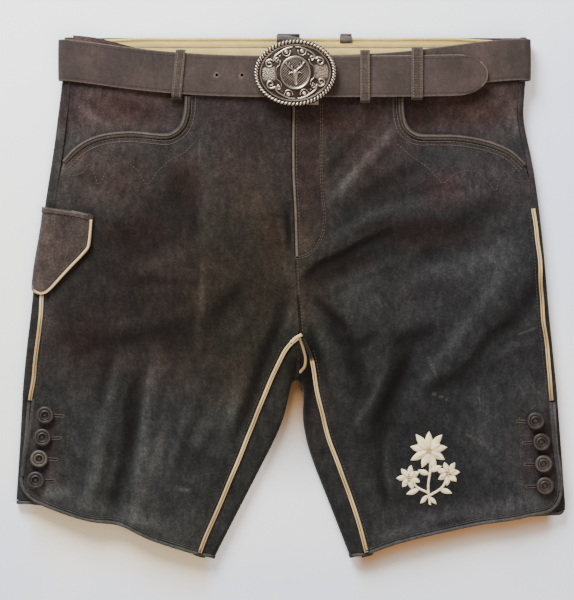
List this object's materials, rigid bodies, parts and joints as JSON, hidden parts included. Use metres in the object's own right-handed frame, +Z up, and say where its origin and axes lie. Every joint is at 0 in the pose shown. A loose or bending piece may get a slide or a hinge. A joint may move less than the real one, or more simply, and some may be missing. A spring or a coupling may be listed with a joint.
{
  "type": "leather shorts",
  "caption": "Suede leather shorts laid flat, front up, with piped seams, buttoned leg vents, a knife pocket and a belt with an oval buckle",
  "frame": {"origin": "the middle of the garment's box on the surface it lies on", "axes": "+X across the waist to the right as seen from above with the waist away from the viewer, +Y from the hems towards the waist, +Z up from the surface"},
  "size_m": [0.5372, 0.511, 0.0356],
  "materials": {
    "suede": "napped suede, dark grey-brown",
    "belt_leather": "matt nubuck with edge stitching",
    "cream_leather": "matt cream piping",
    "trim_leather": "matt suede, brown",
    "lining_cloth": "woven cotton",
    "horn": "turned horn, dark brown, satin",
    "old_silver": "antiqued silver-coloured casting"
  },
  "bodies": {
    "root": {"back_left": "suede", "back_right": "suede", "belt_keeper": "trim_leather", "belt_loop_back_left": "trim_leather", "belt_loop_back_right": "trim_leather", "belt_loop_left": "trim_leather", "belt_loop_right": "trim_leather", "belt_strap": "belt_leather", "buckle_bar": "old_silver", "buckle_boss_1": "old_silver", "buckle_boss_2": "old_silver", "buckle_boss_3": "old_silver", "buckle_boss_4": "old_silver", "buckle_medallion": "old_silver", "buckle_plate": "old_silver", "buckle_rim": "old_silver", "buckle_scroll_1": "old_silver", "buckle_scroll_2": "old_silver", "buckle_scroll_3": "old_silver", "buckle_scroll_4": "old_silver", "buckle_stag": "old_silver", "button_left_1": "horn", "button_left_2": "horn", "button_left_3": "horn", "button_left_4": "horn", "button_right_1": "horn", "button_right_2": "horn", "button_right_3": "horn", "button_right_4": "horn", "fly_edge": "trim_leather", "front_left": "suede", "front_right": "suede", "hem_back_left": "suede", "hem_back_right": "suede", "hem_front_left": "suede", "hem_front_right": "suede", "hip_left": "suede", "hip_right": "suede", "knife_pocket": "suede", "knife_pocket_hem": "suede", "knife_pocket_piping": "cream_leather", "piping_inseam_left": "cream_leather", "piping_inseam_right": "cream_leather", "piping_seat": "cream_leather", "piping_side_left": "cream_leather", "piping_side_right": "cream_leather", "pocket_welt_left": "trim_leather", "pocket_welt_right": "trim_leather", "waistband_back": "suede", "waistband_front_left": "suede", "waistband_front_right": "suede", "waistband_lining": "lining_cloth"}
  },
  "joints": []
}
